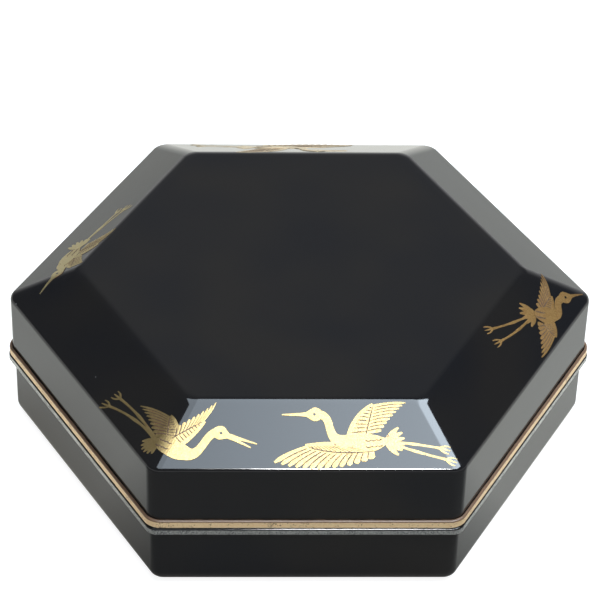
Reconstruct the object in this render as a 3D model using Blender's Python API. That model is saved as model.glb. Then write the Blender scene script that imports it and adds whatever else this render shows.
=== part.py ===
"""Hexagonal lacquer incense box: a hollow lid resting on a hollow base.

Both pieces are made like a turning, but in six steps instead of a circle: a cross-section is spun six times
round the upright axis, which gives six flat sides with the same moulding, and the corners are then rounded.
A cross-section point is (distance from the axis to the flat side, height). Corners point along X and a flat
side faces -Y. Units are metres, with the origin at the centre of the underside.
"""
import math

import bmesh
import bpy
from mathutils import Vector

# Overall form
SIDES = 6
ACROSS_FLATS = 0.0693       # the lid's wall, flat side to flat side
BASE_HEIGHT = 0.0108        # underside to the shoulder that the lid rests on
LID_WALL_HEIGHT = 0.0099    # the lid's rim to the edge where the facets start
FACET_RUN = 0.0083          # how far a facet goes in
FACET_RISE = 0.0048         # how far a facet goes up
BASE_INSET = 0.00035        # the base's wall stands this far behind the lid's wall

# Walls
LID_WALL = 0.0018
LID_TOP = 0.0026
BASE_FLOOR = 0.0026
LIP_WALL = 0.0013
LIP_HEIGHT = 0.0030         # how far the base's inner lip rises above the shoulder
FIT_GAP = 0.0003            # clearance between the lid and the base, on every side

# Bands round the rims and rounded edges
LID_BAND_HEIGHT = 0.0013
BASE_BAND_HEIGHT = 0.0009
BAND_PROUD = 0.0004         # both bands stand this far in front of the lid's wall
BAND_RADIUS = 0.0002        # the bands' edges
LID_CORNER_RADIUS = 0.0022  # the lid's upright corners
BASE_CORNER_RADIUS = 0.0015
WALL_EDGE_RADIUS = 0.0007   # between the lid's wall and its facets
TOP_EDGE_RADIUS = 0.0030    # between the facets and the flat top
FOOT_RADIUS = 0.0024        # the base's lower edge
INNER_RADIUS = 0.0010       # hollow edges inside the lid and the base
LIP_RADIUS = 0.0004         # the lip's upper edges

# Fineness of the faceted curves
ARC_STEPS = 4
CORNER_STEPS = 4

LACQUER_BLACK = (0.012, 0.012, 0.013, 1.0)
LACQUER_ROUGHNESS = 0.12


def clear_scene():
    """Take out whatever the file was opened with."""
    for obj in list(bpy.data.objects):
        bpy.data.objects.remove(obj, do_unlink=True)


def make_collection(name):
    """A collection of its own for the object's pieces."""
    collection = bpy.data.collections.new(name)
    bpy.context.scene.collection.children.link(collection)
    return collection


def make_material(name, colour, roughness):
    """A plain gloss finish."""
    material = bpy.data.materials.new(name)
    material.use_nodes = True
    shader = material.node_tree.nodes["Principled BSDF"]
    shader.inputs["Base Color"].default_value = colour
    shader.inputs["Roughness"].default_value = roughness
    shader.inputs["Metallic"].default_value = 0.0
    return material


def fillet(before, corner, after, radius, steps=ARC_STEPS):
    """Points of an arc that rounds one corner of a cross-section."""
    corner = Vector(corner)
    to_before = (Vector(before) - corner).normalized()
    to_after = (Vector(after) - corner).normalized()
    half_angle = to_before.angle(to_after) / 2
    centre = corner + (to_before + to_after).normalized() * (radius / math.sin(half_angle))
    tangent = radius / math.tan(half_angle)
    start = corner + to_before * tangent - centre
    end = corner + to_after * tangent - centre
    turn = start.angle(end)
    points = []
    for step in range(steps + 1):
        share = step / steps
        weight_start = math.sin((1 - share) * turn) / math.sin(turn)
        weight_end = math.sin(share * turn) / math.sin(turn)
        points.append(tuple(centre + start * weight_start + end * weight_end))
    return points


def band(bottom, top):
    """The face of a flat band with rounded edges, from its lower edge to its upper edge."""
    face = ACROSS_FLATS / 2 + BAND_PROUD
    lower = fillet((0, bottom), (face, bottom), (face, top), BAND_RADIUS)
    upper = fillet((face, bottom), (face, top), (0, top), BAND_RADIUS)
    return lower + upper


def spin_hexagon(name, section, corner_radius, material, collection):
    """Spin an open cross-section in six steps, cap both ends and round the six corners."""
    mesh_data = bmesh.new()
    to_corner = 1 / math.cos(math.pi / SIDES)
    vertices = [mesh_data.verts.new((flat * to_corner, 0, height)) for flat, height in section]
    edges = [mesh_data.edges.new(pair) for pair in zip(vertices, vertices[1:])]
    bmesh.ops.spin(mesh_data, geom=vertices + edges, cent=(0, 0, 0), axis=(0, 0, 1),
                   angle=math.tau, steps=SIDES, use_merge=True)
    open_edges = [edge for edge in mesh_data.edges if edge.is_boundary]
    bmesh.ops.holes_fill(mesh_data, edges=open_edges, sides=0)
    round_corners(mesh_data, corner_radius)
    bmesh.ops.recalc_face_normals(mesh_data, faces=mesh_data.faces)
    mesh = bpy.data.meshes.new(name)
    mesh_data.to_mesh(mesh)
    mesh_data.free()
    mesh.materials.append(material)
    mesh.shade_smooth()
    mesh.set_sharp_from_angle(angle=math.radians(30))
    obj = bpy.data.objects.new(name, mesh)
    collection.objects.link(obj)
    return obj


def round_corners(mesh_data, corner_radius):
    """Bevel the edges that run along the cross-section at each of the six corners."""
    corner_edges = [edge for edge in mesh_data.edges if runs_along_section(edge)]
    tangent = corner_radius * math.tan(math.pi / SIDES)
    bmesh.ops.bevel(mesh_data, geom=corner_edges, offset=tangent, offset_type="ABSOLUTE",
                    segments=CORNER_STEPS, profile=0.5, affect="EDGES", material=-1,
                    loop_slide=True)


def runs_along_section(edge):
    """True for an edge that stays at one corner instead of going along a side."""
    first, second = (vertex.co.xy for vertex in edge.verts)
    return first.angle(second) < math.pi / SIDES


def lid_section():
    """The lid's cross-section, from the flat top's edge down the outside and up the inside."""
    wall = ACROSS_FLATS / 2
    rim = BASE_HEIGHT + FIT_GAP
    wall_top = rim + LID_WALL_HEIGHT
    top = wall_top + FACET_RISE
    slope = math.hypot(FACET_RUN, FACET_RISE)
    top_corner = (wall - FACET_RUN, top)
    wall_corner = (wall, wall_top)
    inner_wall = wall - LID_WALL
    inner_corner = (inner_wall, wall_top + (LID_WALL * FACET_RISE - LID_TOP * slope) / FACET_RUN)
    ceiling_corner = (wall - FACET_RUN - LID_TOP * (slope - FACET_RUN) / FACET_RISE, top - LID_TOP)
    outside = fillet((0, top), top_corner, wall_corner, TOP_EDGE_RADIUS)
    outside += fillet(top_corner, wall_corner, (wall, rim), WALL_EDGE_RADIUS)
    outside += [(wall, rim + LID_BAND_HEIGHT), *reversed(band(rim, rim + LID_BAND_HEIGHT))]
    inside = [(inner_wall, rim)]
    inside += fillet((inner_wall, rim), inner_corner, ceiling_corner, INNER_RADIUS)
    inside += fillet(inner_corner, ceiling_corner, (0, top - LID_TOP), INNER_RADIUS)
    return outside + inside


def base_section():
    """The base's cross-section, from the underside's edge up the outside and down the inside."""
    wall = ACROSS_FLATS / 2 - BASE_INSET
    lip_outer = ACROSS_FLATS / 2 - LID_WALL - FIT_GAP
    inner_wall = lip_outer - LIP_WALL
    lip_top = BASE_HEIGHT + LIP_HEIGHT
    outer_lip_corner = (lip_outer, lip_top)
    inner_lip_corner = (inner_wall, lip_top)
    floor_corner = (inner_wall, BASE_FLOOR)
    outside = fillet((0, 0), (wall, 0), (wall, BASE_HEIGHT), FOOT_RADIUS)
    band_bottom = BASE_HEIGHT - BASE_BAND_HEIGHT
    outside += [(wall, band_bottom), *band(band_bottom, BASE_HEIGHT)]
    lip = [(lip_outer, BASE_HEIGHT)]
    lip += fillet((lip_outer, BASE_HEIGHT), outer_lip_corner, inner_lip_corner, LIP_RADIUS)
    lip += fillet(outer_lip_corner, inner_lip_corner, floor_corner, LIP_RADIUS)
    inside = fillet(inner_lip_corner, floor_corner, (0, BASE_FLOOR), INNER_RADIUS)
    return outside + lip + inside


def build():
    """Make the two pieces of the box, the lid lying on the base."""
    clear_scene()
    collection = make_collection("incense_box")
    lid_lacquer = make_material("lid_lacquer", LACQUER_BLACK, LACQUER_ROUGHNESS)
    base_lacquer = make_material("base_lacquer", LACQUER_BLACK, LACQUER_ROUGHNESS)
    spin_hexagon("lid", lid_section(), LID_CORNER_RADIUS, lid_lacquer, collection)
    spin_hexagon("base", base_section(), BASE_CORNER_RADIUS, base_lacquer, collection)


build()
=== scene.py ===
# %% [markdown]
# # A hexagonal lacquer incense box
# The box is small enough to lie in the palm. Thin wood is shaped into a six-sided base and a lid, both are
# coated many times with black lacquer and polished until they mirror the room, and cranes are drawn on the
# lid in wet lacquer and dusted with gold powder. The construction is already made and measured, so this
# lesson loads it as a frame and gives it its finish. The box of the bare construction is kept for later,
# because the finished piece must not grow past it.

import math

import bmesh
import bpy
from mathutils import Matrix, Vector
from mathutils.bvhtree import BVHTree
from mathutils.geometry import interpolate_bezier


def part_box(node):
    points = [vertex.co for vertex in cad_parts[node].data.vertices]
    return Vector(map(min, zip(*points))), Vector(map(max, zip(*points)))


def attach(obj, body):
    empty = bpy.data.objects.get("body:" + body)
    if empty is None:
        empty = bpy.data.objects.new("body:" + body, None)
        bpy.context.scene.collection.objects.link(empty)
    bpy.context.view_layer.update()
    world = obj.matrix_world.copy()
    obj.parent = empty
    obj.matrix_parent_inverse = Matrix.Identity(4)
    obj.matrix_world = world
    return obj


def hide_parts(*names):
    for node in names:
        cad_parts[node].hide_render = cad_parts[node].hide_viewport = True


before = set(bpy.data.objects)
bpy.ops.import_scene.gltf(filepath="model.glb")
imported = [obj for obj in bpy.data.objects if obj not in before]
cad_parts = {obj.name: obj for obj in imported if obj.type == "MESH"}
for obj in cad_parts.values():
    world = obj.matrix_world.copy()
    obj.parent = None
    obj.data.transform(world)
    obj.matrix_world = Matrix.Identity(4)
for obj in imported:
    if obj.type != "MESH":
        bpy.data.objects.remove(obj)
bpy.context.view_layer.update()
lid_low, lid_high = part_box("lid")
_, base_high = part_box("base")
print("nodes:", sorted(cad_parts), "- lid top at", round(lid_high.z * 1000, 2), "mm")

# %% [markdown]
# ## The camera
# The photograph looks down on a flat side of the box from a little to the left. A long lens far away keeps
# the hexagon nearly free of perspective, as in the photograph. The camera first looks at the middle of the
# underside, and is then slid upwards in its own plane, so that the box fills the frame.

# %% Camera at the photograph's angle
MM = 0.001
CAMERA_LENS = 175.9
CAMERA_DISTANCE = 414.8 * MM
CAMERA_ELEVATION = math.radians(40.04)
CAMERA_TURN = math.radians(-2.45)
CAMERA_ROLL = math.radians(1.74)
CAMERA_SLIDE = (0.38 * MM, 15.65 * MM)


def add_camera():
    """Stand the camera round the origin, roll it about its own axis and slide it."""
    data = bpy.data.cameras.new("camera")
    data.lens = CAMERA_LENS
    data.clip_start = 0.01
    camera = bpy.data.objects.new("camera", data)
    bpy.context.scene.collection.objects.link(camera)
    turned = Matrix.Rotation(CAMERA_TURN, 4, "Z") @ Matrix.Rotation(math.pi / 2 - CAMERA_ELEVATION, 4, "X")
    placed = turned @ Matrix.Rotation(CAMERA_ROLL, 4, "Z")
    camera.matrix_world = placed @ Matrix.Translation((*CAMERA_SLIDE, CAMERA_DISTANCE))
    bpy.context.scene.camera = camera
    return camera


camera = add_camera()
print("camera at", [round(value * 1000) for value in camera.matrix_world.translation], "mm")

# %% [markdown]
# ## Sizes of the two pieces
# The lid and the base repeat the construction's sizes, but with finer curves, because polished lacquer shows
# every flat strip in its reflections. What can be read from the frame is read from it: the height of the lid,
# where the lid's rim lies, how high the inner lip stands and how wide the box is. The construction leaves a
# clearance under the lid. Here the base comes up to it, so that only a hairline of a seam shows, as where the
# real lid rests on its base.

# %% Sizes
SIDES = 6
LID_BAND_HEIGHT = 1.3 * MM
BASE_BAND_HEIGHT = 1.1 * MM
BAND_PROUD = 0.4 * MM
BAND_RADIUS = 0.24 * MM
BASE_INSET = 0.35 * MM
FIT_GAP = 0.3 * MM
SEAM = 0.13 * MM
LID_WALL = 1.8 * MM
LID_TOP = 2.6 * MM
LIP_WALL = 1.3 * MM
BASE_FLOOR = 2.6 * MM
FACET_RUN = 8.3 * MM
FACET_RISE = 4.8 * MM
LID_CORNER_RADIUS = 2.2 * MM
BASE_CORNER_RADIUS = 1.5 * MM
WALL_EDGE_RADIUS = 0.7 * MM
TOP_EDGE_RADIUS = 3.0 * MM
FOOT_RADIUS = 2.4 * MM
INNER_RADIUS = 1.0 * MM
LIP_RADIUS = 0.4 * MM
ARC_STEPS = 12
CORNER_STEPS = 12

lid_wall = lid_high.y - BAND_PROUD
lid_rim = lid_low.z
lid_top = lid_high.z
wall_top = lid_top - FACET_RISE
base_wall = lid_wall - BASE_INSET
base_shoulder = lid_rim - SEAM
lid_band_top = lid_rim + LID_BAND_HEIGHT
base_band_bottom = base_shoulder - BASE_BAND_HEIGHT
print("flat to flat", round(lid_wall * 2000, 2), "mm, rim at", round(lid_rim * 1000, 2), "mm")

# %% [markdown]
# ## How a six-sided piece is turned
# Both pieces have one moulding that runs round six flat sides. That could be cut from a block or built from
# flat faces, but the shortest way is the turner's: draw half of the cross-section, spin it round the upright
# axis in six steps, and cap the two open ends. A cross-section point is (distance from the axis to the flat
# side, height). The corners are then rounded with one bevel along all the edges that run through them. The
# bevel slides by an absolute distance, so that a corner is as round at the wall as on the facets. Loop slide
# lets it follow the ledge of a band, where the rounding would otherwise run out into a sharp point.


# %% Arc and band for the cross-sections
def fillet(before, corner, after, radius, steps=ARC_STEPS):
    """Points of an arc that rounds one corner of a cross-section."""
    corner = Vector(corner)
    to_before = (Vector(before) - corner).normalized()
    to_after = (Vector(after) - corner).normalized()
    half_angle = to_before.angle(to_after) / 2
    centre = corner + (to_before + to_after).normalized() * (radius / math.sin(half_angle))
    tangent = radius / math.tan(half_angle)
    start = corner + to_before * tangent - centre
    end = corner + to_after * tangent - centre
    turn = start.angle(end)
    points = []
    for step in range(steps + 1):
        share = step / steps
        from_start = math.sin((1 - share) * turn) / math.sin(turn)
        from_end = math.sin(share * turn) / math.sin(turn)
        points.append(tuple(centre + start * from_start + end * from_end))
    return points


def band(bottom, top):
    """The face of a flat band with rounded edges, from its lower edge to its upper edge."""
    face = lid_wall + BAND_PROUD
    lower = fillet((0, bottom), (face, bottom), (face, top), BAND_RADIUS)
    upper = fillet((face, bottom), (face, top), (0, top), BAND_RADIUS)
    return lower + upper


print("a band has", len(band(lid_rim, lid_rim + LID_BAND_HEIGHT)), "points")


# %% Spin a cross-section in six steps
def runs_along_section(edge):
    """True for an edge that stays at one corner instead of going along a side."""
    first, second = (vertex.co.xy for vertex in edge.verts)
    return first.angle(second) < math.pi / SIDES


def spin_hexagon(section, corner_radius):
    """Spin an open cross-section in six steps, cap both ends and round the six corners."""
    shape = bmesh.new()
    to_corner = 1 / math.cos(math.pi / SIDES)
    points = [shape.verts.new((flat * to_corner, 0, height)) for flat, height in section]
    edges = [shape.edges.new(pair) for pair in zip(points, points[1:])]
    bmesh.ops.spin(shape, geom=points + edges, cent=(0, 0, 0), axis=(0, 0, 1),
                   angle=math.tau, steps=SIDES, use_merge=True)
    bmesh.ops.holes_fill(shape, edges=[edge for edge in shape.edges if edge.is_boundary], sides=0)
    corner_edges = [edge for edge in shape.edges if runs_along_section(edge)]
    bmesh.ops.bevel(shape, geom=corner_edges, offset=corner_radius * math.tan(math.pi / SIDES),
                    offset_type="ABSOLUTE", segments=CORNER_STEPS, profile=0.5, affect="EDGES", material=-1,
                    loop_slide=True)
    bmesh.ops.recalc_face_normals(shape, faces=shape.faces)
    return shape


# %% The two cross-sections
def lid_section():
    """From the flat top's edge down the outside, round the rim and up the inside."""
    slope = math.hypot(FACET_RUN, FACET_RISE)
    top_corner = (lid_wall - FACET_RUN, lid_top)
    wall_corner = (lid_wall, wall_top)
    inner_wall = lid_wall - LID_WALL
    inner_corner = (inner_wall, wall_top + (LID_WALL * FACET_RISE - LID_TOP * slope) / FACET_RUN)
    ceiling = lid_top - LID_TOP
    ceiling_corner = (top_corner[0] - LID_TOP * (slope - FACET_RUN) / FACET_RISE, ceiling)
    outside = fillet((0, lid_top), top_corner, wall_corner, TOP_EDGE_RADIUS)
    outside += fillet(top_corner, wall_corner, (lid_wall, lid_rim), WALL_EDGE_RADIUS)
    outside += [(lid_wall, lid_band_top), *reversed(band(lid_rim, lid_band_top))]
    inside = [(inner_wall, lid_rim)]
    inside += fillet((inner_wall, lid_rim), inner_corner, ceiling_corner, INNER_RADIUS)
    inside += fillet(inner_corner, ceiling_corner, (0, ceiling), INNER_RADIUS)
    return outside + inside


def base_section():
    """From the underside's edge up the outside, over the lip and down the inside."""
    lip_outer = lid_wall - LID_WALL - FIT_GAP
    inner_wall = lip_outer - LIP_WALL
    outer_lip_corner = (lip_outer, base_high.z)
    inner_lip_corner = (inner_wall, base_high.z)
    floor_corner = (inner_wall, BASE_FLOOR)
    outside = fillet((0, 0), (base_wall, 0), (base_wall, base_shoulder), FOOT_RADIUS)
    outside += [(base_wall, base_band_bottom), *band(base_band_bottom, base_shoulder)]
    lip = [(lip_outer, base_shoulder)]
    lip += fillet((lip_outer, base_shoulder), outer_lip_corner, inner_lip_corner, LIP_RADIUS)
    lip += fillet(outer_lip_corner, inner_lip_corner, floor_corner, LIP_RADIUS)
    inside = fillet(inner_lip_corner, floor_corner, (0, BASE_FLOOR), INNER_RADIUS)
    return outside + lip + inside


print("the lid's section has", len(lid_section()), "points, the base's", len(base_section()))

# %% [markdown]
# ## Finishes
# Two effects return all over the box, so each is a node group that is built once: polished lacquer, with
# its faint undulation, rubbing haze and specks of dust, and sprinkled metal powder, with its grains and the
# ground that shows between them. A group gives out only colours, values and a height. The shader itself
# stays in the material, where its gloss can be set.


# %% Adding and mixing nodes
def put(tree, kind, inputs=None, **options):
    """Add a node, set its options, and give each input a value or a wire from another node."""
    node = tree.nodes.new(kind)
    for option, value in options.items():
        setattr(node, option, value)
    for name, value in (inputs or {}).items():
        if isinstance(value, bpy.types.NodeSocket):
            tree.links.new(value, node.inputs[name])
        else:
            node.inputs[name].default_value = value
    return node


def blend(tree, share, first, second):
    """Mix two colours by a share and return the colour."""
    node = put(tree, "ShaderNodeMix", {"Factor": share}, data_type="RGBA")
    for socket, value in ((node.inputs[6], first), (node.inputs[7], second)):
        if isinstance(value, bpy.types.NodeSocket):
            tree.links.new(value, socket)
        else:
            socket.default_value = value
    return node.outputs[2]


def spread(tree, value, low, high, new_low, new_high):
    """Stretch a value from one range to another, held within the new one."""
    node = put(tree, "ShaderNodeMapRange", {"Value": value, "From Min": low, "From Max": high,
                                            "To Min": new_low, "To Max": new_high})
    return node.outputs["Result"]


def math_of(tree, operation, first, second=0.0):
    """One sum on two values."""
    node = put(tree, "ShaderNodeMath", {0: first, 1: second}, operation=operation)
    return node.outputs[0]


# %% Building and placing a group
FLOAT = "NodeSocketFloat"
COLOUR = "NodeSocketColor"
NOISE_LOW, NOISE_HIGH = 0.3, 0.7


def new_group(name, inputs, outputs):
    """An empty shader group with named sockets. Returns the tree, its input node and its output node."""
    tree = bpy.data.node_groups.new(name, "ShaderNodeTree")
    for socket, (kind, value) in inputs.items():
        tree.interface.new_socket(name=socket, in_out="INPUT", socket_type=kind).default_value = value
    for socket, kind in outputs.items():
        tree.interface.new_socket(name=socket, in_out="OUTPUT", socket_type=kind)
    return tree, tree.nodes.new("NodeGroupInput"), tree.nodes.new("NodeGroupOutput")


def group_node(tree, group, **inputs):
    """Place a group in a material with its own values."""
    node = put(tree, "ShaderNodeGroup", node_tree=group)
    for name, value in inputs.items():
        socket = node.inputs[name.replace("_", " ")]
        if isinstance(value, bpy.types.NodeSocket):
            tree.links.new(value, socket)
        else:
            socket.default_value = value
    return node


# %% [markdown]
# ### Polished lacquer
# Rubbed lacquer looks like one flat black, but its mirror is never perfect: the polishing leaves long soft
# waves, the shine is a little duller here and there, and specks of dust lie on it. Noise made from the place
# on the box gives all that without seams or unwrapping. A slow noise makes the waves and a finer one the
# rubbing. The cells of a Voronoi texture make the dust: about one cell in eighty has a speck in its middle.

# %% Polished lacquer
SWELL_SCALE = 70.0
SWELL_LOW, SWELL_HIGH = 0.35, 0.65
RUBBING_SCALE = 420.0
LEAST_HAZE, MOST_HAZE = 0.75, 1.3
DUST_SCALE = 620.0
DUST_CHANCE = 0.012
DUST_RADIUS = 0.065
DUST_ROUGHNESS = 0.6
DUST_GRAY = (0.35, 0.34, 0.33, 1)
BLACK = (0.006, 0.006, 0.007, 1)
WARM_BLACK = (0.009, 0.008, 0.0075, 1)


def polished_lacquer_group():
    """Colour, roughness and height of rubbed lacquer."""
    tree, given, result = new_group(
        "polished lacquer",
        {"Ground": (COLOUR, BLACK), "Haze": (FLOAT, 0.07), "Dust": (FLOAT, 1.0)},
        {"Colour": COLOUR, "Roughness": FLOAT, "Height": FLOAT})
    place = put(tree, "ShaderNodeTexCoord").outputs["Object"]
    swell = put(tree, "ShaderNodeTexNoise", {"Vector": place, "Scale": SWELL_SCALE, "Detail": 1.0})
    rubbing = put(tree, "ShaderNodeTexNoise", {"Vector": place, "Scale": RUBBING_SCALE, "Detail": 4.0})
    grit = put(tree, "ShaderNodeTexVoronoi", {"Vector": place, "Scale": DUST_SCALE})
    chance = put(tree, "ShaderNodeSeparateColor", {"Color": grit.outputs["Color"]}).outputs["Red"]
    chosen = math_of(tree, "GREATER_THAN", chance, 1 - DUST_CHANCE)
    close = math_of(tree, "LESS_THAN", grit.outputs["Distance"], DUST_RADIUS)
    speck = math_of(tree, "MULTIPLY", math_of(tree, "MULTIPLY", chosen, close), given.outputs["Dust"])
    tone = blend(tree, spread(tree, swell.outputs["Fac"], SWELL_LOW, SWELL_HIGH, 0.0, 1.0),
                 given.outputs["Ground"], WARM_BLACK)
    tree.links.new(blend(tree, speck, tone, DUST_GRAY), result.inputs["Colour"])
    haze = math_of(tree, "MULTIPLY", given.outputs["Haze"],
                   spread(tree, rubbing.outputs["Fac"], NOISE_LOW, NOISE_HIGH, LEAST_HAZE, MOST_HAZE))
    tree.links.new(math_of(tree, "MAXIMUM", haze, math_of(tree, "MULTIPLY", speck, DUST_ROUGHNESS)),
                   result.inputs["Roughness"])
    tree.links.new(swell.outputs["Fac"], result.inputs["Height"])
    return tree


lacquer_group = polished_lacquer_group()
print("group:", lacquer_group.name)

# %% [markdown]
# ### Metal powder
# Gold or silver powder is sprinkled on wet lacquer, so it is never a plain sheet of metal. It is grains, each
# with its own tone and gloss, and the darker ground shows between them where they lie thin. Each cell of a
# very fine Voronoi texture is a grain here. It is metal if its own random value is below the cover, and a
# slow noise makes the cover drift. Every finish gives the group its own colours, cover and dullness.

# %% Sprinkled metal powder
GRAIN_SCALE = 9000.0
GRAIN_BRIGHTNESS = 0.5
GRAIN_ROUGHNESS = 0.18
DRIFT_SCALE = 700.0
DRIFT = 0.25


def metal_powder_group():
    """Colour, metal, roughness and height of metal powder sprinkled on a darker ground."""
    tree, given, result = new_group(
        "metal powder",
        {"Metal": (COLOUR, (0.93, 0.66, 0.33, 1)), "Bright": (COLOUR, (1.0, 0.86, 0.60, 1)),
         "Ground": (COLOUR, (0.16, 0.055, 0.02, 1)), "Cover": (FLOAT, 0.9), "Dullness": (FLOAT, 0.3)},
        {"Colour": COLOUR, "Metal": FLOAT, "Roughness": FLOAT, "Height": FLOAT})
    place = put(tree, "ShaderNodeTexCoord").outputs["Object"]
    grain = put(tree, "ShaderNodeTexVoronoi", {"Vector": place, "Scale": GRAIN_SCALE})
    grain_tone = put(tree, "ShaderNodeSeparateColor", {"Color": grain.outputs["Color"]})
    drift = put(tree, "ShaderNodeTexNoise", {"Vector": place, "Scale": DRIFT_SCALE, "Detail": 3.0})
    bare = spread(tree, drift.outputs["Fac"], NOISE_LOW, NOISE_HIGH, DRIFT, -DRIFT)
    cover = math_of(tree, "SUBTRACT", given.outputs["Cover"], bare)
    gold_here = math_of(tree, "LESS_THAN", grain_tone.outputs["Green"], cover)
    pale = blend(tree, spread(tree, grain_tone.outputs["Red"], 0.0, 1.0, 0.0, GRAIN_BRIGHTNESS),
                 given.outputs["Metal"], given.outputs["Bright"])
    tree.links.new(blend(tree, gold_here, given.outputs["Ground"], pale), result.inputs["Colour"])
    tree.links.new(gold_here, result.inputs["Metal"])
    grain_rough = spread(tree, grain_tone.outputs["Blue"], 0.0, 1.0, 0.0, GRAIN_ROUGHNESS)
    tree.links.new(math_of(tree, "ADD", given.outputs["Dullness"], grain_rough), result.inputs["Roughness"])
    tree.links.new(grain.outputs["Distance"], result.inputs["Height"])
    return tree


powder_group = metal_powder_group()
print("group:", powder_group.name)

# %% Starting a material
LACQUER_IOR = 1.52
SWELL_HEIGHT = 0.02 * MM
GRAIN_HEIGHT = 0.006 * MM


def new_material(name, preview):
    """A material with only its shader in it. Returns the material, its tree and the shader."""
    material = bpy.data.materials.new(name)
    material.use_nodes = True
    material.diffuse_color = preview
    shader = material.node_tree.nodes["Principled BSDF"]
    shader.inputs["IOR"].default_value = LACQUER_IOR
    return material, material.node_tree, shader


def wire(tree, source, shader, socket):
    """Join an output to one of the shader's sockets."""
    tree.links.new(source, shader.inputs[socket])


def bump(tree, height, distance):
    """A bump whose full height is a real distance."""
    return put(tree, "ShaderNodeBump", {"Height": height, "Distance": distance}).outputs["Normal"]


# %% [markdown]
# ### Lacquer, with or without a powdered band
# The band's powder could be a piece of its own, but it has no thickness that shows, and its edge is not a
# clean line. So each piece keeps a value called band on its points, 1 on the band's face, and the material
# turns it into powder. A noise added to the value makes the edge ragged. Where the value is one half the
# cover is low, as along the upper edge of the lid's band, and black shows through, so that edge is darker.

# %% Lacquer materials
RAGGED_SCALE = 500.0
RAGGED = 0.12
GILT_FROM, GILT_TO = 0.22, 0.32


def lacquer_material(name, haze):
    """Black gloss lacquer."""
    material, tree, shader = new_material(name, (0.01, 0.01, 0.01, 1))
    lacquer = group_node(tree, lacquer_group, Haze=haze)
    wire(tree, lacquer.outputs["Colour"], shader, "Base Color")
    wire(tree, lacquer.outputs["Roughness"], shader, "Roughness")
    wire(tree, bump(tree, lacquer.outputs["Height"], SWELL_HEIGHT), shader, "Normal")
    return material


def banded_lacquer_material(name, haze, metal_share, cover, **powder):
    """Gloss lacquer with powder on its band. Cover holds for a band value of one half, and of 1."""
    material, tree, shader = new_material(name, (0.01, 0.01, 0.01, 1))
    lacquer = group_node(tree, lacquer_group, Haze=haze)
    place = put(tree, "ShaderNodeTexCoord").outputs["Object"]
    ragged = put(tree, "ShaderNodeTexNoise", {"Vector": place, "Scale": RAGGED_SCALE, "Detail": 3.0})
    painted = put(tree, "ShaderNodeAttribute", attribute_name="band").outputs["Fac"]
    gold = group_node(tree, powder_group, Cover=spread(tree, painted, 0.5, 1.0, *cover), **powder)
    shift = spread(tree, ragged.outputs["Fac"], NOISE_LOW, NOISE_HIGH, -RAGGED, RAGGED)
    gilt = spread(tree, math_of(tree, "ADD", painted, shift), GILT_FROM, GILT_TO, 0.0, 1.0)
    wire(tree, blend(tree, gilt, lacquer.outputs["Colour"], gold.outputs["Colour"]), shader, "Base Color")
    metal = math_of(tree, "MULTIPLY", gold.outputs["Metal"], metal_share)
    wire(tree, math_of(tree, "MULTIPLY", gilt, metal), shader, "Metallic")
    rough = math_of(tree, "ADD", math_of(tree, "MULTIPLY", gilt, gold.outputs["Roughness"]),
                    math_of(tree, "MULTIPLY", math_of(tree, "SUBTRACT", 1.0, gilt),
                            lacquer.outputs["Roughness"]))
    wire(tree, rough, shader, "Roughness")
    wire(tree, bump(tree, lacquer.outputs["Height"], SWELL_HEIGHT), shader, "Normal")
    return material


# %% [markdown]
# ### The cranes' gold and the needle's lines
# The real cranes are one gold, but the light on them is uneven. Here each facet's gold is a copy of its own
# with painted light and shade: lighter where the facet catches little light and redder on the right, so that
# the five cranes look as on the real lid. All share one recipe. A needle line bares the brown ground under
# the gold and keeps only a few dull grains.

# %% Gold and needle lines
GOLD_COVER = 1.1
GOLD_DULLNESS = 0.36
NEEDLE_COVER = 0.08
NEEDLE_DULLNESS = 0.5


def powder_material(name, preview, **powder):
    """Metal powder and nothing else."""
    material, tree, shader = new_material(name, preview)
    grains = group_node(tree, powder_group, **powder)
    wire(tree, grains.outputs["Colour"], shader, "Base Color")
    wire(tree, grains.outputs["Metal"], shader, "Metallic")
    wire(tree, grains.outputs["Roughness"], shader, "Roughness")
    wire(tree, bump(tree, grains.outputs["Height"], GRAIN_HEIGHT), shader, "Normal")
    return material


def crane_gold_material(name, **tones):
    """Gold powder dense enough to hide its ground, in tones that paint a facet's light and shade."""
    return powder_material(name, (0.9, 0.7, 0.4, 1), Cover=GOLD_COVER, Dullness=GOLD_DULLNESS, **tones)


def needle_material():
    """The brown ground that a needle bares, with a few grains of gold left in it."""
    return powder_material("needle_line", (0.2, 0.1, 0.05, 1), Cover=NEEDLE_COVER, Dullness=NEEDLE_DULLNESS,
                           Metal=(0.34, 0.22, 0.11, 1), Bright=(0.40, 0.28, 0.15, 1),
                           Ground=(0.065, 0.028, 0.012, 1))


# %% All finishes of the box
lid_finish = banded_lacquer_material("lid_lacquer", haze=0.07, metal_share=0.5, cover=(-0.4, 0.95),
                                     Metal=(0.74, 0.51, 0.27, 1), Bright=(0.90, 0.72, 0.46, 1),
                                     Ground=(0.14, 0.075, 0.04, 1))
base_finish = banded_lacquer_material("base_lacquer", haze=0.07, metal_share=1.0, cover=(0.3, 0.75),
                                      Metal=(0.50, 0.50, 0.48, 1), Bright=(0.85, 0.85, 0.82, 1),
                                      Ground=(0.10, 0.10, 0.095, 1), Dullness=0.42)
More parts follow.
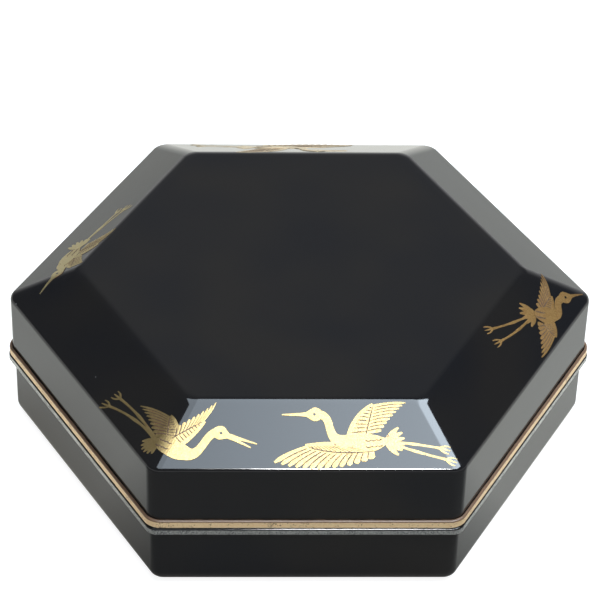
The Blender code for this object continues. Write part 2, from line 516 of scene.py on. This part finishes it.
# One gold in copies with painted light and shade: darkest in front, lighter behind, redder on the right.
front_gold_painted_shade = crane_gold_material("front_gold_painted_shade", Metal=(0.29, 0.205, 0.087, 1), Bright=(0.37, 0.285, 0.138, 1))
back_left_gold_painted_light = crane_gold_material("back_left_gold_painted_light", Metal=(0.40, 0.33, 0.165, 1), Bright=(0.53, 0.46, 0.26, 1))
back_gold_painted_light = crane_gold_material("back_gold_painted_light", Metal=(0.60, 0.49, 0.33, 1), Bright=(0.74, 0.64, 0.46, 1))
right_gold_painted_warm_light = crane_gold_material("right_gold_painted_warm_light", Metal=(0.25, 0.135, 0.045, 1), Bright=(0.44, 0.29, 0.12, 1))
eye_finish = lacquer_material("eye_lacquer", haze=0.2)
needle_finish = needle_material()
finishes = (lid_finish, base_finish, front_gold_painted_shade, back_left_gold_painted_light, back_gold_painted_light, right_gold_painted_warm_light, eye_finish, needle_finish)
print("finishes:", [finish.name for finish in finishes])

# %% [markdown]
# ## The lid and the base
# The finished shapes take the place of the construction's faceted ones. Each piece has a flat band round its
# rim: gold powder on the lid's, and dull gray silver powder on the base's. The powder is not a piece of its
# own but a value kept on the points of the band, which the piece's finish reads. It goes a little way round
# the band's rounded edges.
#
# Smooth shading needs care on polished lacquer. Over a real corner, such as the ledge above a band, it would
# paint a false gradient on the wall, so every edge that turns by more than 40 degrees stays sharp. Beside a
# narrow rounding it would bend the flats, so the larger face has the say in the normals of its points.


# %% Pieces and their shading
def finish_piece(name, shape, materials):
    """Turn a shape into a smooth piece of the box and tie it to the frame."""
    mesh = bpy.data.meshes.new(name)
    shape.to_mesh(mesh)
    shape.free()
    for material in materials:
        mesh.materials.append(material)
    mesh.shade_smooth()
    piece = bpy.data.objects.new(name, mesh)
    bpy.context.scene.collection.objects.link(piece)
    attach(piece, "root")
    return piece


SHARP_ANGLE = math.radians(40)


def even_shading(piece):
    """Keep real corners sharp, and let large flats keep their own normals beside narrow curves."""
    piece.data.set_sharp_from_angle(angle=SHARP_ANGLE)
    weights = piece.modifiers.new("even shading", "WEIGHTED_NORMAL")
    weights.mode = "FACE_AREA"
    weights.weight = 100
    weights.keep_sharp = True


# %% Where the powder lies
POWDER_BEHIND = 1.4 * BAND_RADIUS
POWDER_BOTTOM = 0.4 * BAND_RADIUS
POWDER_TOP = 0.1 * BAND_RADIUS
UPPER_EDGE = 0.9 * BAND_RADIUS
# One half gives the lid band's upper edge a thin powder cover, so that edge is darker; 0 leaves it bare.
THIN_COVER, BARE = 0.5, 0.0
SIDE_DIRECTIONS = [Matrix.Rotation(math.tau * side / SIDES, 2) @ Vector((0, -1)) for side in range(SIDES)]


def before_band(spot, corner_radius):
    """How far a point of the plan stands before the bands' face, whose corners are rounded."""
    core = lid_wall + BAND_PROUD - corner_radius
    outward = max(SIDE_DIRECTIONS, key=spot.dot)
    ahead = max(spot.dot(outward) - core, 0.0)
    aside = max(abs(spot.cross(outward)) - core * math.tan(math.pi / SIDES), 0.0)
    return math.hypot(ahead, aside) - corner_radius


def mark_band(piece, bottom, top, corner_radius, upper_edge):
    """Give 1 to the band's face, a value of its own to its upper edge, and 0 to the rest."""
    values = piece.data.attributes.new("band", "FLOAT", "POINT").data
    for vertex in piece.data.vertices:
        height = vertex.co.z
        on_band = before_band(vertex.co.xy, corner_radius) > -POWDER_BEHIND
        if on_band and bottom + POWDER_BOTTOM < height < top + POWDER_TOP:
            values[vertex.index].value = 1.0 if height < top - UPPER_EDGE else upper_edge


# %% Make both pieces
lid_shape = spin_hexagon(lid_section(), LID_CORNER_RADIUS)
base_shape = spin_hexagon(base_section(), BASE_CORNER_RADIUS)
lid = finish_piece("lid_lacquered", lid_shape, [lid_finish])
base = finish_piece("base_lacquered", base_shape, [base_finish])
mark_band(lid, lid_rim, lid_band_top, LID_CORNER_RADIUS, THIN_COVER)
mark_band(base, base_band_bottom, base_shoulder, BASE_CORNER_RADIUS, BARE)
even_shading(lid)
even_shading(base)
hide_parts("lid")
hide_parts("base")
print("faces: lid", len(lid.data.polygons), "base", len(base.data.polygons))

# %% [markdown]
# ## Cranes in gold
# Flying cranes are a traditional figure on lacquer. A maker lays each feather with one brush stroke of wet
# lacquer, sprinkles it with gold powder, and then draws fine lines between the feathers with a needle, which
# bares the dark ground. The figures here are made the same way. A stroke is a small grid that is bent along
# a curve and given a width that swells and thins, and a needle line is the thinnest of strokes. The drawing
# is then dropped straight down onto the lid, so it follows the facets and wraps round their ridges, and it
# is given the slight thickness of real powder work.
#
# A drawing is in millimetres. Its strokes lie on numbered layers, each a few thousandths of a millimetre
# above the last, so a later stroke hides an earlier one. A needle line lies several layers above the gold
# that it scratches, because the next feathers would bury it otherwise.

# %% Strokes
LIFT = 0.02
LAYER = 0.003
CROWN = 0.006
LOOK_AHEAD = 0.02
FIRST_HANDLE, SECOND_HANDLE = 0.35, 0.7
POWDER_THICKNESS = 0.12 * MM
NEEDLE_WIDTHS = (0.05, 0.075, 0.08, 0.07, 0.04)
NEEDLE_LAYERS = 7
GOLD_SLOT, EYE_SLOT, NEEDLE_SLOT = 0, 1, 2


def curve_points(start, first_handle, second_handle, end, count):
    """Points along a smooth curve with two handles."""
    knots = [Vector((*point, 0)) for point in (start, first_handle, second_handle, end)]
    return [point.xy for point in interpolate_bezier(*knots, count)]


def arc_points(start, end, bend, count):
    """Points along a shallow curve that bends aside by a share of its length."""
    start, end = Vector(start), Vector(end)
    aside = (end - start).orthogonal() * bend
    handles = (start.lerp(end, share) + aside for share in (FIRST_HANDLE, SECOND_HANDLE))
    return curve_points(start, *handles, end, count)


def along(values, share):
    """The value at a share of the way along an evenly spaced list."""
    place = min(max(share, 0.0), 1.0) * (len(values) - 1)
    index = min(int(place), len(values) - 2)
    return values[index] + (values[index + 1] - values[index]) * (place - index)


def stroke(shape, path, widths, layer, steps=10, slot=GOLD_SLOT):
    """Bend a grid along a path, with half-widths given at even steps."""
    grid = bmesh.ops.create_grid(shape, x_segments=steps, y_segments=2, size=1)["verts"]
    for vertex in grid:
        share, side = (vertex.co.x + 1) / 2, vertex.co.y
        ahead = along(path, min(share + LOOK_AHEAD, 1.0)) - along(path, max(share - LOOK_AHEAD, 0.0))
        across = Vector((-ahead.y, ahead.x)).normalized()
        spot = along(path, share) + across * side * along(widths, share)
        vertex.co = (*spot, LIFT + LAYER * layer + CROWN * (1 - abs(side)))
    for face in set(face for vertex in grid for face in vertex.link_faces):
        face.material_index = slot


def needle_line(shape, path, layer, fineness=1.0):
    """A line scratched through the gold that lies on a layer."""
    widths = [width * fineness for width in NEEDLE_WIDTHS]
    stroke(shape, path, widths, layer + NEEDLE_LAYERS, steps=8, slot=NEEDLE_SLOT)


print("needle widths:", NEEDLE_WIDTHS, "mm")

# %% [markdown]
# ### Parts of a crane
# A wing is two rows of overlapping feathers. The arm runs from the shoulder to the wrist. Short coverts lie
# between the arm and a line behind it, and the flight feathers start on that line and fan out to the
# trailing edge, so the outermost one carries the wing from the wrist to its tip. A feather is as wide as the
# room between its neighbours, and a little more, at either end. Each part has its list of half-widths from
# its start to its end, and narrow feathers get finer needle lines.

# %% Wings
FEATHER = (1.0, 1.0, 1.0, 1.0, 1.0, 0.97, 0.84, 0.42)
OVERLAP = 1.12
BROAD_FEATHER = 0.3
FEATHER_BEND = 0.05
FEATHER_STEP = 0.1
ARM = (0.45, 0.42, 0.38, 0.34, 0.30)


def room_across(curve, share, step, direction):
    """How wide a feather may be where it meets a curve."""
    return abs((along(curve, share + step) - along(curve, share - step)).cross(direction))


def feather_row(shape, roots, tips, count, layer, bend):
    """Feathers from one curve to another, with a needle line between neighbours."""
    last = len(FEATHER) - 1
    for index in range(count):
        share, step = (index + 0.5) / count, 0.5 / count
        root, tip = along(roots, share), along(tips, share)
        direction = (tip - root).normalized()
        near, far = (room_across(curve, share, step, direction) * OVERLAP / 2 for curve in (roots, tips))
        widths = [(near + (far - near) * place / last) * part for place, part in enumerate(FEATHER)]
        stroke(shape, arc_points(root, tip, bend, 8), widths, layer + index * FEATHER_STEP, steps=9)
        if index:
            edge = index / count
            line = arc_points(along(roots, edge), along(tips, edge), bend, 14)[1:-2]
            needle_line(shape, line, layer, min(1.0, max(near, far) / BROAD_FEATHER))


def wing(shape, points, bows, feathers, layer):
    """Flight feathers and coverts, with a needle line where the two rows meet."""
    shoulder, wrist, tip, rear, root = points
    arm = arc_points(shoulder, wrist, bows[0], 16)
    middle = arc_points(root, wrist, bows[1], 16)
    trailing = arc_points(rear, tip, bows[2], 24)
    bend = FEATHER_BEND if bows[0] > 0 else -FEATHER_BEND
    feather_row(shape, middle, trailing, feathers, layer, bend)
    feather_row(shape, arm, middle, feathers, layer + 1, 0.0)
    stroke(shape, arm, ARM, layer + 2, steps=12)
    needle_line(shape, middle[:-1], layer + 2)


# %% Legs and tail
LEG = (0.34, 0.22, 0.16, 0.15, 0.21, 0.15, 0.14, 0.14, 0.18)
TOE = (0.12, 0.13, 0.11, 0.05)
TOE_LENGTH = 1.5
TOE_SPREAD = 0.36
TOE_BEND = 0.4
PLUME = (0.7, 0.85, 1.0, 1.0, 0.7, 0.3)
PLUME_HALF_WIDTH = 0.34
PLUME_BEND = 0.02
PLUME_TURN = 19
PLUME_STEP = 0.2
PLUMES = 6


def legs(shape, rump, feet, layer):
    """Two long legs trailing behind, each with a joint and three toes."""
    for foot, bend in feet:
        path = arc_points(rump, foot, bend, 10)
        stroke(shape, path, LEG, layer, steps=16)
        out = (path[-1] - path[-2]).normalized()
        for turn in (-TOE_SPREAD, 0.0, TOE_SPREAD):
            toe_end = Vector(foot) + Matrix.Rotation(turn, 2) @ out * TOE_LENGTH
            stroke(shape, arc_points(foot, toe_end, turn * TOE_BEND, 5), TOE, layer + 1, steps=4)


def tail(shape, rump, angle, length, layer):
    """Rounded plumes fanned behind the body."""
    for index in range(PLUMES):
        turn = math.radians(angle + (index - (PLUMES - 1) / 2) * PLUME_TURN)
        end = Vector(rump) + Vector((math.cos(turn), math.sin(turn))) * length
        widths = [PLUME_HALF_WIDTH * part for part in PLUME]
        path = arc_points(rump, end, PLUME_BEND * (index - 2), 6)
        stroke(shape, path, widths, layer + index * PLUME_STEP, steps=7)


print("a tail has", PLUMES, "plumes")


# %% Body, neck and head
BODY = (0.45, 0.95, 1.2, 1.28, 1.24, 1.05, 0.7)
BODY_BEND = -0.05
FLANK_SHARES = (0.12, 0.24, 0.36)
FLANK_ASIDE = 0.42
FLANK_AHEAD, FLANK_BEHIND = 0.45, 0.3
FLANK_BEND = 0.3
NECK = (1.0, 0.82, 0.62, 0.53, 0.50, 0.51, 0.55, 0.6)
HEAD = (0.30, 0.74, 0.90, 0.92, 0.76, 0.52, 0.32)
HEAD_BACK, HEAD_FRONT = 0.95, 1.15
BEAK = (0.36, 0.27, 0.19, 0.13, 0.07)
BEAK_START = 0.4
NECK_END = 0.3
EYE_RADIUS = 0.19
EYE_AHEAD = 0.1


def body(shape, rump, breast, layer):
    """A full oval, with short needle lines for the flank feathers."""
    axis = arc_points(rump, breast, BODY_BEND, 12)
    stroke(shape, axis, BODY, layer, steps=14)
    for share in FLANK_SHARES:
        middle = along(axis, share)
        onward = (along(axis, share + 0.05) - middle).normalized()
        for side in (-FLANK_ASIDE, FLANK_ASIDE):
            place = middle + Vector((-onward.y, onward.x)) * side
            front, back = place + onward * FLANK_AHEAD, place - onward * FLANK_BEHIND
            needle_line(shape, arc_points(front, back, FLANK_BEND, 6), layer)


def neck_and_head(shape, breast, handles, head, beaks, layer):
    """The long neck, a round head and a beak that is one stroke, or two when it is open."""
    head = Vector(head)
    forward = sum(((Vector(tip) - head).normalized() for tip in beaks), Vector((0, 0))).normalized()
    for tip in beaks:
        stroke(shape, arc_points(head + forward * BEAK_START, tip, 0.0, 6), BEAK, layer, steps=8)
    neck_path = curve_points(breast, *handles, head - forward * NECK_END, 16)
    stroke(shape, neck_path, NECK, layer + 1, steps=18)
    head_path = arc_points(head - forward * HEAD_BACK, head + forward * HEAD_FRONT, 0.0, 8)
    stroke(shape, head_path, HEAD, layer + 2, steps=12)
    eye = bmesh.ops.create_circle(shape, cap_ends=True, segments=10, radius=EYE_RADIUS)["verts"]
    for vertex in eye:
        spot = vertex.co.xy + head + forward * EYE_AHEAD
        vertex.co = (*spot, LIFT + LAYER * (layer + 3) + CROWN)
    for face in set(face for vertex in eye for face in vertex.link_faces):
        face.material_index = EYE_SLOT


print("an eye is", round(EYE_RADIUS * 2, 2), "mm across")

# %% [markdown]
# ### Poses
# Each crane flies in its own way, as on the real lid. A pose names the few points that matter: the rump and
# the breast, the neck's handles, the head, the beak, the feet, and for each wing its shoulder, wrist, tip,
# rear feather and rear root, with the bow of its three curves and its number of feathers. The crane at the
# back repeats the pose of the one in front.

# %% Poses
GLIDING = {
    "rump": (-3.3, -0.1), "breast": (2.3, -0.3),
    "neck": ((5.0, -0.2), (2.9, 3.4)), "head": (5.7, 3.5), "beak": [(10.0, 3.45)],
    "wings": [(((1.3, 0.4), (-1.8, 4.8), (-6.2, 5.3), (-2.6, 1.1), (-0.8, 0.8)), (-0.15, 0.0, -0.05), 9),
              (((1.9, -0.7), (7.0, -0.8), (11.4, -2.8), (-2.0, -2.3), (-1.8, -1.4)),
               (0.04, -0.08, -0.12), 14)],
    "tail": (180, 2.5), "feet": [((-11.0, -2.5), 0.02), ((-10.2, -1.0), -0.02)],
}
SWOOPING = {
    "rump": (-2.4, 1.9), "breast": (1.6, -0.7),
    "neck": ((3.4, -1.7), (3.6, 2.3)), "head": (5.8, 2.3), "beak": [(10.5, 0.8), (9.7, 0.3)],
    "wings": [(((0.2, 1.4), (-0.7, 5.1), (-4.7, 9.0), (-2.6, 2.4), (-1.0, 1.9)), (-0.12, 0.0, -0.05), 9),
              (((0.4, 0.6), (3.7, 3.9), (5.5, 6.6), (-0.4, 2.9), (-0.4, 1.6)), (-0.06, 0.0, -0.04), 10)],
    "tail": (205, 2.0), "feet": [((-8.6, 10.6), -0.06), ((-7.2, 11.2), -0.04)],
}
CLIMBING = {
    "rump": (-3.2, -0.6), "breast": (1.2, -0.3),
    "neck": ((2.6, -0.9), (1.5, 0.9)), "head": (3.3, 0.35), "beak": [(6.9, -0.4)],
    "wings": [(((0.8, 0.3), (2.0, 1.9), (1.1, 3.4), (-1.1, 1.7), (-0.4, 0.8)), (-0.12, 0.0, -0.05), 6),
              (((-0.6, 0.4), (-3.6, 2.8), (-7.8, 3.5), (-3.9, 0.6), (-2.2, 0.4)), (-0.12, 0.0, -0.05), 9)],
    "tail": (210, 2.3), "feet": [((-12.4, 1.3), 0.03), ((-11.8, 0.3), 0.0)],
}
TURNING = {
    "rump": (-1.1, 1.2), "breast": (1.0, -1.2),
    "neck": ((2.7, -2.6), (2.5, 0.5)), "head": (5.0, -0.8), "beak": [(8.0, -2.4)],
    "wings": [(((0.9, -0.7), (3.4, 0.9), (6.3, 4.2), (0.2, 1.7), (0.0, 0.7)), (-0.08, 0.0, -0.04), 9),
              (((-0.3, -1.5), (-2.0, -2.9), (-6.9, -3.3), (-2.0, 0.3), (-1.6, -0.5)), (0.10, 0.0, 0.05), 8)],
    "tail": (150, 2.5), "feet": [((-8.6, 4.4), 0.03), ((-9.2, 2.5), 0.05)],
}
poses = {"gliding": GLIDING, "swooping": SWOOPING, "climbing": CLIMBING, "turning": TURNING}
print("feathers:", {name: [count for _, _, count in pose["wings"]] for name, pose in poses.items()})

# %% [markdown]
# ### On the lid
# Where a crane flies is given on the facet that carries it: which side, how far along it from the middle, and
# how far up from its lower edge. Each point of the drawing is dropped down a plumb line onto the lid. The
# Solidify modifier then gives the sheet its thickness. Its rim takes the needle line's brown, which outlines
# the figure, except at the back, where the crane is seen almost edge-on and its rim has to be gold.

# %% Draw a crane
LEG_LAYER = 0
TAIL_LAYER = 1
WING_LAYER = 3
LAYERS_PER_WING = 7
BODY_LAYER = 17
NECK_LAYER = 18
NECK_ROOT = 0.8


def draw_crane(pose):
    """All the strokes of one crane, from the lowest layer to the highest."""
    shape = bmesh.new()
    legs(shape, pose["rump"], pose["feet"], LEG_LAYER)
    tail(shape, pose["rump"], *pose["tail"], TAIL_LAYER)
    for index, (points, bows, feathers) in enumerate(pose["wings"]):
        wing(shape, points, bows, feathers, layer=WING_LAYER + index * LAYERS_PER_WING)
    body(shape, pose["rump"], pose["breast"], BODY_LAYER)
    towards_rump = (Vector(pose["rump"]) - Vector(pose["breast"])).normalized()
    neck_start = Vector(pose["breast"]) + towards_rump * NECK_ROOT
    neck_and_head(shape, neck_start, pose["neck"], pose["head"], pose["beak"], NECK_LAYER)
    return shape


# %% Lay a crane on the lid
def lid_surface():
    """The lid's outer surface, for dropping things onto."""
    return BVHTree.FromPolygons([v.co for v in lid.data.vertices], [p.vertices for p in lid.data.polygons])


def lay_on_lid(shape, surface, side, place, flip):
    """Move a flat drawing to its place on a facet and drop it straight down onto the lid."""
    outward = SIDE_DIRECTIONS[side]
    onward = Vector((-outward.y, outward.x))
    slope = math.cos(math.atan2(FACET_RISE, FACET_RUN))
    for vertex in shape.verts:
        spot = Vector((vertex.co.x * (-1 if flip else 1), vertex.co.y)) + Vector(place)
        plan = onward * spot.x * MM + outward * (lid_wall - spot.y * slope * MM)
        hit, normal, _, _ = surface.ray_cast(Vector((*plan, lid_top * 2)), Vector((0, 0, -1)))
        vertex.co = hit + normal * vertex.co.z * MM
    bmesh.ops.recalc_face_normals(shape, faces=shape.faces)


def face_up(shape):
    """Turn every face that looks down."""
    down = [face for face in shape.faces if face.normal.z < 0]
    bmesh.ops.reverse_faces(shape, faces=down)


def add_crane(name, pose, side, place, gold, flip=False, edge_slot=NEEDLE_SLOT):
    """Draw a crane, lay it on the lid and thicken it. Its rim takes the finish of edge_slot."""
    shape = draw_crane(pose)
    lay_on_lid(shape, surface, side, place, flip)
    face_up(shape)
    crane = finish_piece(name, shape, [gold, eye_finish, needle_finish])
    crane.data.shade_flat()
    thickness = crane.modifiers.new("powder thickness", "SOLIDIFY")
    thickness.thickness = POWDER_THICKNESS
    thickness.offset = -1
    thickness.material_offset_rim = edge_slot - GOLD_SLOT
    return crane


# %% All five cranes
surface = lid_surface()
cranes = [
    add_crane("crane_front", GLIDING, 0, (6.8, 4.1), front_gold_painted_shade, flip=True),
    add_crane("crane_front_left", SWOOPING, 0, (-16.9, 2.8), front_gold_painted_shade),
    add_crane("crane_back_left", CLIMBING, 4, (12.3, 5.9), back_left_gold_painted_light),
    add_crane("crane_right", TURNING, 1, (11.4, 3.8), right_gold_painted_warm_light),
    add_crane("crane_back", GLIDING, 3, (2.8, 4.1), back_gold_painted_light, flip=True, edge_slot=GOLD_SLOT),
]
print("cranes:", [(crane.name, len(crane.data.polygons)) for crane in cranes])

# %% [markdown]
# ## Floor and light
# Black lacquer has hardly any colour of its own, so what one sees is the room in it: the floor, a broad soft
# light overhead, a small lamp, and a dark room above a bright horizon. None of them is part of the object.
# The tones are kept as they fall, without a film curve, so that white stays white.
#
# The floor is plain and glows by itself, as a light table does, because a sheet lit from above would need so
# much light that the lacquer turned gray. Reflections see it dimmer. The front wall mirrors the strip of
# floor right before it, which was dim where the real box stood, so that strip carries a painted shadow here,
# seen only in reflections. The back facet mirrors the floor behind the box, which carries painted light,
# also seen only in reflections.

# %% Floor
FLOOR_SIZE = 1.6
FLOOR_DROP = 0.2 * MM
FLOOR_ROUGHNESS = 0.8
FLOOR_GLOSS = 0.2
# Painted shadow on the floor before the box and painted light behind it, which only reflections see.
PAINTED_SHADOW_START = -19 * MM
PAINTED_SHADOW_END = -36.5 * MM
BEHIND_START, BEHIND_FULL = 40 * MM, 60 * MM
BEHIND_FADES, BEHIND_END = 120 * MM, 200 * MM
FLOOR_GLOW, FLOOR_COLOUR = 0.92, 0.30
MIRRORED_GLOW, MIRRORED_COLOUR = 0.405, 0.307
PAINTED_SHADOW_GLOW, PAINTED_SHADOW_COLOUR = 0.04, 0.08
PAINTED_LIGHT_BEHIND = 0.35
MIRRORED_TINT = (1.0, 0.96, 0.86)


def gray(value):
    """A neutral colour."""
    return (value, value, value, 1)


def warm(value):
    """The slightly warm colour that the floor has in reflections, which the cool light overhead evens out."""
    return (*(value * part for part in MIRRORED_TINT), 1)


def flat_sheet(name, size, place, material, facing_down=False):
    """A flat square for the room round the box."""
    shape = bmesh.new()
    bmesh.ops.create_grid(shape, x_segments=1, y_segments=1, size=size / 2)
    if facing_down:
        bmesh.ops.reverse_faces(shape, faces=shape.faces)
    bmesh.ops.translate(shape, verts=shape.verts, vec=place)
    mesh = bpy.data.meshes.new(name)
    shape.to_mesh(mesh)
    shape.free()
    mesh.materials.append(material)
    sheet = bpy.data.objects.new(name, mesh)
    bpy.context.scene.collection.objects.link(sheet)
    return sheet


def add_floor():
    """A pale light-table sheet; in reflections, painted shadow before the box and painted light behind it."""
    material, tree, shader = new_material("pale_floor", (0.9, 0.9, 0.9, 1))
    place = put(tree, "ShaderNodeTexCoord").outputs["Object"]
    forward = put(tree, "ShaderNodeSeparateXYZ", {"Vector": place}).outputs["Y"]
    # The strip before the box is a painted shadow for reflections, and the floor behind it painted light.
    strip = spread(tree, forward, PAINTED_SHADOW_START, PAINTED_SHADOW_END, 0.0, 1.0)
    behind = math_of(tree, "MULTIPLY", spread(tree, forward, BEHIND_START, BEHIND_FULL, 0.0, PAINTED_LIGHT_BEHIND),
                     spread(tree, forward, BEHIND_END, BEHIND_FADES, 0.0, 1.0))
    mirrored = put(tree, "ShaderNodeLightPath").outputs["Is Glossy Ray"]
    mirrored_colour = blend(tree, strip, warm(MIRRORED_COLOUR), warm(PAINTED_SHADOW_COLOUR))
    wire(tree, blend(tree, mirrored, gray(FLOOR_COLOUR), mirrored_colour), shader, "Base Color")
    glow = math_of(tree, "ADD", behind, spread(tree, strip, 0.0, 1.0, MIRRORED_GLOW, PAINTED_SHADOW_GLOW))
    mirrored_glow = blend(tree, glow, gray(0.0), warm(1.0))
    wire(tree, blend(tree, mirrored, gray(FLOOR_GLOW), mirrored_glow), shader, "Emission Color")
    shader.inputs["Emission Strength"].default_value = 1.0
    shader.inputs["Roughness"].default_value = FLOOR_ROUGHNESS
    shader.inputs["Specular IOR Level"].default_value = FLOOR_GLOSS
    # So large and even a sheet is found without aiming rays at it.
    material.cycles.emission_sampling = "NONE"
    floor = flat_sheet("floor", FLOOR_SIZE, (0, 0, -FLOOR_DROP), material)
    return floor


floor = add_floor()
print("floor", FLOOR_SIZE, "m")

# %% [markdown]
# ### Overhead light
# The front facet mirrors the middle of this sheet. In the photograph the facet is bluish and brightens to the
# right, and so does the sheet. The rounded ridge at the facet's right end is a light line there, because it
# mirrors the brightest part, near the sheet's right end. The camera doesn't see the sheet itself.

# %% Overhead light
SOFTBOX_SIZE = 1.1
SOFTBOX_PLACE = (0.15, -0.05, 1.2)
SOFTBOX_LEFT = 4.4
SOFTBOX_RIGHT = 9.0
SOFTBOX_RIM = 15.4
MIDDLE_START, MIDDLE_END = -0.08, 0.12
RIM_START, RIM_END = 0.20, 0.30
SOFTBOX_TINT = (0.77, 0.885, 1.0, 1)


def add_softbox():
    """A broad bluish sheet that glows brighter to the right, in two steps."""
    material, tree, shader = new_material("softbox_cloth", (1, 1, 1, 1))
    place = put(tree, "ShaderNodeTexCoord").outputs["Object"]
    sideways = put(tree, "ShaderNodeSeparateXYZ", {"Vector": place}).outputs["X"]
    middle = spread(tree, sideways, MIDDLE_START, MIDDLE_END,
                    SOFTBOX_LEFT / SOFTBOX_RIM, SOFTBOX_RIGHT / SOFTBOX_RIM)
    rim = spread(tree, sideways, RIM_START, RIM_END, 0.0, 1.0 - SOFTBOX_RIGHT / SOFTBOX_RIM)
    glow = math_of(tree, "ADD", middle, rim)
    tint = blend(tree, glow, gray(0.0), SOFTBOX_TINT)
    wire(tree, tint, shader, "Emission Color")
    shader.inputs["Base Color"].default_value = gray(0.0)
    shader.inputs["Emission Strength"].default_value = SOFTBOX_RIM
    softbox = flat_sheet("softbox", SOFTBOX_SIZE, SOFTBOX_PLACE, material, facing_down=True)
    softbox.visible_camera = False
    return softbox


softbox = add_softbox()
print("softbox", SOFTBOX_SIZE, "m at", SOFTBOX_PLACE)

# %% [markdown]
# ### Lamp and room
# The lamp stands in front and above, and is too small to show as more than thin white lines on the rounded
# edges: along the foot of the front facet and on the base's band. The room is a gradient on the world, pale
# to the camera. In reflections it is bright at the horizon, which the two facets beside the back one mirror,
# and dark above, with a dim card behind the box that the flat top mirrors.

# %% Lamp
LAMP_PLACE = (0.045, -0.42, 0.68)
LAMP_SIZE = (0.068, 0.14)
LAMP_POWER = 4.6


def add_lamp():
    """A small lamp in front and above, seen only as fine white lines in the gloss."""
    data = bpy.data.lights.new("front_lamp", "AREA")
    data.shape = "RECTANGLE"
    data.size, data.size_y = LAMP_SIZE
    data.energy = LAMP_POWER
    lamp = bpy.data.objects.new("front_lamp", data)
    bpy.context.scene.collection.objects.link(lamp)
    lamp.location = LAMP_PLACE
    lamp.rotation_euler = Vector(LAMP_PLACE).to_track_quat("Z", "Y").to_euler()
    lamp.visible_diffuse = False
    return lamp


# %% Room
HORIZON_GLOW = 1.0
HORIZON_HEIGHT = 0.35
ROOM_DARK = 0.08
BACK_CARD = 0.16
CARD_DIRECTION = (0.03, 0.84, 0.54)
CARD_EDGE, CARD_FULL = 0.88, 0.99
BACKDROP = 0.93


def add_room():
    """Pale to the camera. In reflections, bright at the horizon, dark above it, with a dim card behind."""
    world = bpy.data.worlds.new("room")
    bpy.context.scene.world = world
    world.use_nodes = True
    tree = world.node_tree
    background = tree.nodes["Background"]
    direction = put(tree, "ShaderNodeTexCoord").outputs["Generated"]
    height = put(tree, "ShaderNodeSeparateXYZ", {"Vector": direction}).outputs["Z"]
    glow = spread(tree, height, 0.0, HORIZON_HEIGHT, HORIZON_GLOW, ROOM_DARK)
    towards = put(tree, "ShaderNodeVectorMath", {0: direction, 1: CARD_DIRECTION}, operation="DOT_PRODUCT")
    card = spread(tree, towards.outputs["Value"], CARD_EDGE, CARD_FULL, 0.0, BACK_CARD)
    camera_ray = put(tree, "ShaderNodeLightPath").outputs["Is Camera Ray"]
    tone = blend(tree, camera_ray, math_of(tree, "ADD", glow, card), gray(BACKDROP))
    tree.links.new(tone, background.inputs["Color"])
    background.inputs["Strength"].default_value = 1.0


lamp = add_lamp()
add_room()
bpy.context.scene.view_settings.view_transform = "Standard"
print("lamp", lamp.name, "of", LAMP_POWER, "W at", LAMP_PLACE)
